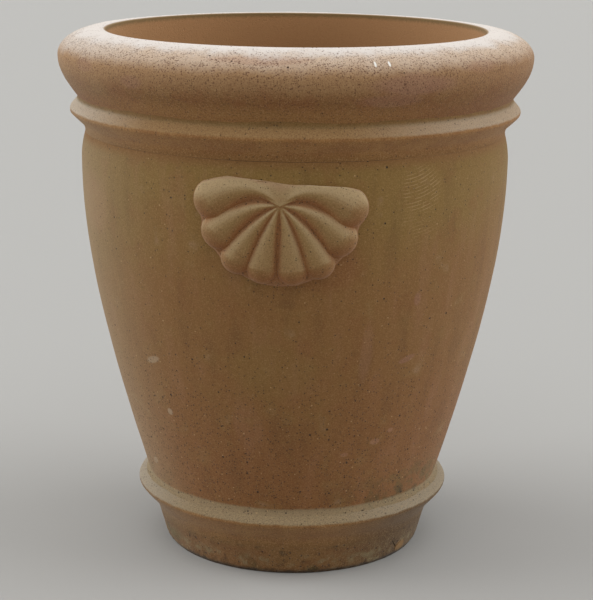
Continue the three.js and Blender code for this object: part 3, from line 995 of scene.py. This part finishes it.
def rim_finish():
    """Pitted clay, paler towards its cream top, with pink and lilac bloom and a brown inside."""
    finish = Finish("rim_clay_finish", RUST)
    mottle = finish.cloud(30 * MM, detail=4)
    crust = finish.cloud(4 * MM, roughness=0.65)
    level = finish.height + (mottle - 0.5) * 14 * MM + (crust - 0.5) * 5 * MM
    finish.coat(finish.rise(mottle, 0.35, 0.65), TAN)
    # The left side paler: dust and painted sheen.
    finish.coat(finish.left * 0.3, LEFT_DUST_AND_SHEEN)
    finish.coat(finish.rise(level, POT_TOP - 62 * MM, POT_TOP - 24 * MM), WEATHERED)
    finish.coat(finish.right * 0.35, RUST)
    tucked = finish.rise(level, POT_TOP - 58 * MM, POT_TOP - 76 * MM)
    flank = finish.math("MAXIMUM", finish.left, finish.right)
    finish.coat(tucked * 0.8, finish.blend(flank, UNDER_ROLL_CLAY, RUST))
    shoulder = finish.rise(level, POT_TOP - 30 * MM, POT_TOP - 10 * MM)
    finish.coat(shoulder, PALE_CLAY)
    # Cream on the left of the shoulder: dust and painted sheen.
    finish.coat(shoulder * finish.left * 0.6, CREAM_DUST_AND_SHEEN)
    finish.stain(RIM_PATCHES, mottle, 1.1, 0.15)
    finish.colour = sand(finish, finish.colour, 1.5)
    finish.coat(finish.rise(level, POT_TOP - 11 * MM, POT_TOP - 1 * MM), CREAM_DUST_AND_SHEEN)

    inside = finish.rise(finish.reach, mouth_radius + 4 * MM, mouth_radius + 0.5 * MM)
    exposed = finish.rise(level, POT_TOP - 50 * MM, POT_TOP - 14 * MM)
    exposed = exposed * finish.rise(level, POT_TOP, POT_TOP - 6 * MM)
    dense = finish.rise(finish.cloud(18 * MM, shift=(0.4, 0.2, 0.6)), 0.36, 0.6)
    below = finish.rise(level, POT_TOP - 2 * MM, POT_TOP - 12 * MM)
    pits = finish.specks(2.4 * MM, 0.95 * MM, exposed * (dense * 0.5 + 0.1) + below * 0.4 + 0.06)
    pores = finish.specks(4.2 * MM, 1.25 * MM, exposed * (dense * 0.35 + 0.1) + 0.1, shift=(0.05, 0.13, 0))
    holes = finish.specks(13 * MM, 1.6 * MM, exposed * 0.08 + 0.1, shift=(0.2, 0.1, 0))
    strings = finish.cloud(3.2 * MM, detail=2, roughness=0.6, shift=(0.3, 0.6, 0.1))
    strings = finish.rise(strings, 0.57, 0.66) * exposed
    finish.coat(strings * (dense * 0.4 + 0.15), RED_PIT)
    finish.coat(pits * (1 - inside) * 0.75, RED_PIT)
    finish.coat(pores * (1 - inside) * 0.7, RED_PIT)
    # Holes darkened with painted shade.
    finish.coat(holes * (1 - inside) * 0.8, DARK_CLAY)
    finish.coat(holes * (1 - inside) * 0.6, PIT_SHADE)
    finish.coat(inside, sand(finish, INSIDE_CLAY, 0.4))
    dirt = finish.rise(finish.height + (crust - 0.5) * 6 * MM, POT_TOP - 9 * MM, POT_TOP - 3 * MM)
    finish.coat(dirt * inside * 0.6, ALGAE_AND_SHADE)
    for place in WHITE_SPOTS:
        finish.coat(finish.patch(*place, softness=0.4) * (1 - inside), WHITE_SPOT)
    relief = crust * 0.6 + finish.cloud(1.8 * MM) * 0.4 - (holes + pores * 0.45 + pits * 0.35)
    return finish.finish(crust * 0.12 + 0.82, relief, 0.7 * MM)


def moulding_finish(name, base, top, slope_tone, side_dust_and_sheen, darkening):
    """Collar and band: dusty on the slope that faces up, paler at the sides with painted sheen, and brown
    beneath, with painted shade there at the sides and in the crease at the top.
    """
    finish = Finish(name, UNDER_ROLL_CLAY)
    mottle = finish.cloud(26 * MM, detail=4)
    patchy = finish.cloud(12 * MM)
    finish.coat(finish.rise(mottle, 0.35, 0.65) * 0.5, RUST)
    finish.coat(finish.rise(finish.height, base + 10 * MM, base), UNDER_CLAY)
    # The left side paler: dust and painted sheen.
    finish.coat(finish.left * 0.35, LEFT_DUST_AND_SHEEN)
    # Painted shade beneath the piece at its sides, as far as darkening says.
    finish.coat(finish.shade_sides * darkening, FOOT_SHADE)
    dust = finish.rise(finish.up + (patchy - 0.5) * 0.3, 0, 0.5)
    # At the sides the dust turns paler: dust and painted sheen.
    flank = finish.math("MAXIMUM", finish.left, finish.right * 0.55)
    finish.coat(dust * 0.85, finish.blend(flank, slope_tone, side_dust_and_sheen))
    finish.colour = sand(finish, finish.colour, 1.6)
    # Painted shade in the crease at the piece's top, in the algae tone.
    crease_shade = finish.rise(finish.height + (patchy - 0.5) * 3 * MM, top - 5 * MM, top) * 0.35
    finish.coat(crease_shade, ALGAE_AND_SHADE)
    pits = finish.specks(4 * MM, 1.1 * MM, 0.3)
    # Pits darkened with painted shade.
    finish.coat(pits * 0.55, PIT_SHADE)
    relief = finish.cloud(1.8 * MM) * 0.45 + patchy * 0.5 - pits
    return finish.finish(patchy * 0.1 + 0.85, relief, 0.6 * MM)


def shell_finish():
    """Pale tan clay, with dust and painted light on the lobes' upper sides, and painted shade beneath them
    and down in the grooves.
    """
    finish = Finish("shell_clay_finish", LOBE_CLAY)
    mottle = finish.cloud(24 * MM, detail=4)
    rise = finish.height - hub_height
    from_hub = finish.math("SQRT", finish.x * finish.x + rise * rise)
    above_wall = finish.reach - wall_face(finish)
    crest = from_hub * ((LOBE_RELIEF - SHELL_HUB_RELIEF) / LOBE_REACHES[0]) + SHELL_HUB_RELIEF
    finish.coat(finish.rise(mottle, 0.35, 0.65) * 0.4, TAN)
    # Upper sides paler: dust and painted light.
    pale = finish.rise(finish.up + (mottle - 0.5) * 0.25, -0.15, 0.5)
    finish.coat(pale * 0.75, LOBE_DUST_AND_LIGHT)
    # Sides that face down darker: painted shade.
    shaded = finish.rise(finish.up + (mottle - 0.5) * 0.2, -0.05, -0.6)
    finish.coat(shaded * 0.55, GROOVE_SHADE)
    # The down-facing lobe ends in rust: painted shade.
    ends = finish.rise(from_hub + (mottle - 0.5) * 40 * MM, 60 * MM, 92 * MM)
    ends = ends * finish.rise(finish.up, 0.25, -0.2)
    finish.coat(ends * 0.45, RUST)
    # Painted shade down in the grooves near the hub.
    groove = finish.rise(above_wall / crest + (mottle - 0.5) * 0.3, 0.85, 0.35)
    inner = finish.rise(from_hub, 98 * MM, 86 * MM) * finish.rise(rise, 12 * MM, 4 * MM)
    finish.coat(groove * inner * 0.75, GROOVE_SHADE)
    slip = finish.rise(above_wall, 3.5 * MM, 0.5 * MM)
    finish.coat(slip * 0.3, PINK_BLOOM)
    finish.colour = sand(finish, finish.colour, 1.1)
    dirt = finish.rise(above_wall, 7 * MM, 2 * MM) * finish.rise(rise, -25 * MM, -60 * MM)
    pits = finish.specks(2.8 * MM, 1 * MM, groove * 0.15 + dirt * 0.45 + 0.06)
    # Pits darkened with painted shade.
    finish.coat(pits * 0.7, PIT_SHADE)
    relief = finish.cloud(1.8 * MM) * 0.4 + mottle * 0.4 - pits
    return finish.finish(mottle * 0.1 + 0.82, relief, 0.6 * MM)


# Ovals on the foot, in millimetres and round from the front: the painted shade in the crack, and bare clay
# beside it.
CRACK_PATCH = (263, 14, 32, 22)
CHIP_PATCH = (284, 12, 22, 9)


def foot_finish():
    """Foot clay, mottled ochre, dark and olive, with painted shade on its sides under the band, and darkest
    along the ground.
    """
    finish = Finish("foot_clay_finish", RUST)
    broad = finish.cloud(55 * MM)
    mottle = finish.cloud(14 * MM, detail=4, roughness=0.65)
    finish.coat(finish.rise(broad, 0.35, 0.65), UNDER_CLAY)
    finish.coat(finish.rise(finish.height, 30 * MM, BAND_BASE), UNDER_CLAY)
    outside = finish.rise(finish.reach, FOOT_RADIUS - 22 * MM, FOOT_RADIUS - 10 * MM)
    # Painted shade on the foot's outside, strongest at the right.
    finish.coat(finish.shade_sides * outside, FOOT_SHADE)
    lower = finish.rise(finish.height, 34 * MM, 16 * MM)
    finish.coat(finish.rise(mottle, 0.47, 0.68) * (lower * 0.55 + 0.1), FOOT_FILM)
    finish.coat(finish.rise(mottle, 0.48, 0.28) * 0.7, DAMP_AND_SHADE)
    finish.coat(finish.rise(broad, 0.5, 0.32) * (lower * 0.5 + 0.15), ALGAE_AND_SHADE)
    chip = finish.patch(*CHIP_PATCH, softness=0.4)
    finish.coat(chip * 0.7, CHIP_CLAY)
    finish.colour = sand(finish, finish.colour, 1.3)
    # Darker towards the ground.
    darkening = finish.rise(finish.height + (mottle - 0.5) * 20 * MM, 9 * MM, 0)
    finish.coat(darkening * 0.85, DAMP_AND_SHADE)
    holes = finish.specks(4.5 * MM, 1.4 * MM, 0.3)
    # Holes darkened with painted shade.
    finish.coat(holes * 0.7, PIT_SHADE)
    face = finish.height * ((FOOT_DRAFT + FOOT_FLARE) / BAND_BASE) + (FOOT_RADIUS - FOOT_DRAFT)
    depth = face - finish.reach
    # Painted shade in the crack.
    crack_shade = finish.patch(*CRACK_PATCH, softness=0.2)
    crack_shade = crack_shade * finish.rise(depth, 1.3 * MM, 2.2 * MM) * finish.rise(depth, 8 * MM, 7 * MM)
    finish.coat(crack_shade * 0.8, PIT_SHADE)
    relief = finish.cloud(2 * MM) * 0.6 + mottle - holes * 1.4
    return finish.finish(mottle * 0.1 + 0.85, relief, 0.9 * MM)


# ---- Assembly ----------------------------------------------------------------------------------


def set_piece(piece, node, material):
    """Puts a finished piece in the place of its frame node."""
    piece.data.materials.clear()
    piece.data.materials.append(material)
    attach(piece, "root")
    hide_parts(node)


foot_clay = foot_finish()
band_clay = moulding_finish("band_clay_finish", BAND_BASE, BAND_TOP, BAND_DUST, BAND_SIDE_DUST_AND_SHEEN, darkening=1)
collar_clay = moulding_finish(
    "collar_clay_finish", COLLAR_BASE, COLLAR_TOP, COLLAR_DUST, COLLAR_SIDE_DUST_AND_SHEEN, darkening=0
)
shell_clay = shell_finish()

set_piece(floor_disc(), "floor_slab", foot_clay)
set_piece(foot_ring(), "foot_wall", foot_clay)
set_piece(lower_band_ring(), "lower_band", band_clay)
set_piece(barrel_body(), "barrel_wall", barrel_finish())
set_piece(collar_ring(), "upper_collar", collar_clay)
set_piece(rolled_rim(), "rolled_rim", rim_finish())
front_shell = pressed_shell("front_shell")
set_piece(rear_copy(front_shell, "rear_shell"), "shell_back", shell_clay)
set_piece(front_shell, "shell_front", shell_clay)

# ---- Floor, light and camera -------------------------------------------------------------------

FLOOR_TONE = clay(164, 163, 160)
BACKDROP_TONE = clay(205, 204, 201)
AIR_STRENGTH = 0.36
STUDIO_WIDTH = 60
LAMP_DISTANCE = 4
CAMERA_TURN = 3.4  # degrees round the pot, to the right of the front shell
CAMERA_PLACE = (0.00384, -2.2376, 0.8786)
CAMERA_DIP = 14.038
CAMERA_ROLL = 0.557
CAMERA_LENS = 103.86


def lay_floor():
    """A wide plain floor that the pot stands on."""
    clear_selection()
    bpy.ops.mesh.primitive_plane_add(size=STUDIO_WIDTH)
    floor = bpy.context.object
    floor.name = "studio_floor"
    material = bpy.data.materials.new("studio_floor_paint")
    material.use_nodes = True
    shader = material.node_tree.nodes["Principled BSDF"]
    shader.inputs["Base Color"].default_value = FLOOR_TONE
    shader.inputs["Roughness"].default_value = 0.9
    floor.data.materials.append(material)


# Broad, soft lamps, which light the floor evenly: degrees round from the camera's side, degrees up, spread
# in degrees, and strength, where 1 shows a square-on surface in its own colour.
LAMPS = {
    "overhead_lamp": (0, 90, 100, 0.42),
    "left_lamp": (-93, 25, 50, 0.61),
    "right_lamp": (93, 25, 50, 0.5),
    "front_lamp": (0, 50, 90, 0.1),
}


def hang_lamp(name, turned, raised, spread, strength):
    """Hangs one lamp that shines at the pot."""
    clear_selection()
    turned, raised = math.radians(turned), math.radians(raised)
    level = math.cos(raised)
    towards = Vector((math.sin(turned) * level, -math.cos(turned) * level, math.sin(raised)))
    facing = towards.to_track_quat("Z", "Y").to_euler()
    bpy.ops.object.light_add(type="SUN", location=towards * LAMP_DISTANCE, rotation=facing)
    lamp = bpy.context.object
    lamp.name = name
    lamp.data.angle = math.radians(spread)
    lamp.data.energy = strength * math.pi


def fill_light(strength):
    """Even light from all round. Where the air itself is seen, it has the floor's pale tone."""
    world = bpy.data.worlds.new("studio_air")
    world.use_nodes = True
    nodes, links = world.node_tree.nodes, world.node_tree.links
    air = nodes["Background"]
    air.inputs["Color"].default_value = (1, 1, 1, 1)
    air.inputs["Strength"].default_value = strength
    backdrop = nodes.new("ShaderNodeBackground")
    backdrop.inputs["Color"].default_value = BACKDROP_TONE
    seen = nodes.new("ShaderNodeLightPath")
    choice = nodes.new("ShaderNodeMixShader")
    shown = seen.outputs["Is Camera Ray"]
    for ray in ("Is Glossy Ray", "Is Transmission Ray"):
        either = nodes.new("ShaderNodeMath")
        either.operation = "MAXIMUM"
        links.new(shown, either.inputs[0])
        links.new(seen.outputs[ray], either.inputs[1])
        shown = either.outputs[0]
    links.new(shown, choice.inputs[0])
    links.new(air.outputs[0], choice.inputs[1])
    links.new(backdrop.outputs[0], choice.inputs[2])
    links.new(choice.outputs[0], nodes["World Output"].inputs["Surface"])
    bpy.context.scene.world = world


def set_camera():
    """The camera at the photograph's place, which looks down on the rim from a little to the right."""
    clear_selection()
    turn_round = Matrix.Rotation(math.radians(CAMERA_TURN), 4, "Z")
    aim = Matrix.Rotation(math.radians(90 - CAMERA_DIP), 4, "X") @ Matrix.Rotation(
        math.radians(CAMERA_ROLL), 4, "Z"
    )
    bpy.ops.object.camera_add()
    camera = bpy.context.object
    camera.matrix_world = turn_round @ Matrix.Translation(CAMERA_PLACE) @ aim
    camera.data.lens = CAMERA_LENS
    camera.data.clip_end = 100
    bpy.context.scene.camera = camera


lay_floor()
fill_light(AIR_STRENGTH)
for lamp_name, setting in LAMPS.items():
    hang_lamp(lamp_name, *setting)
set_camera()
bpy.context.scene.view_settings.view_transform = "Standard"
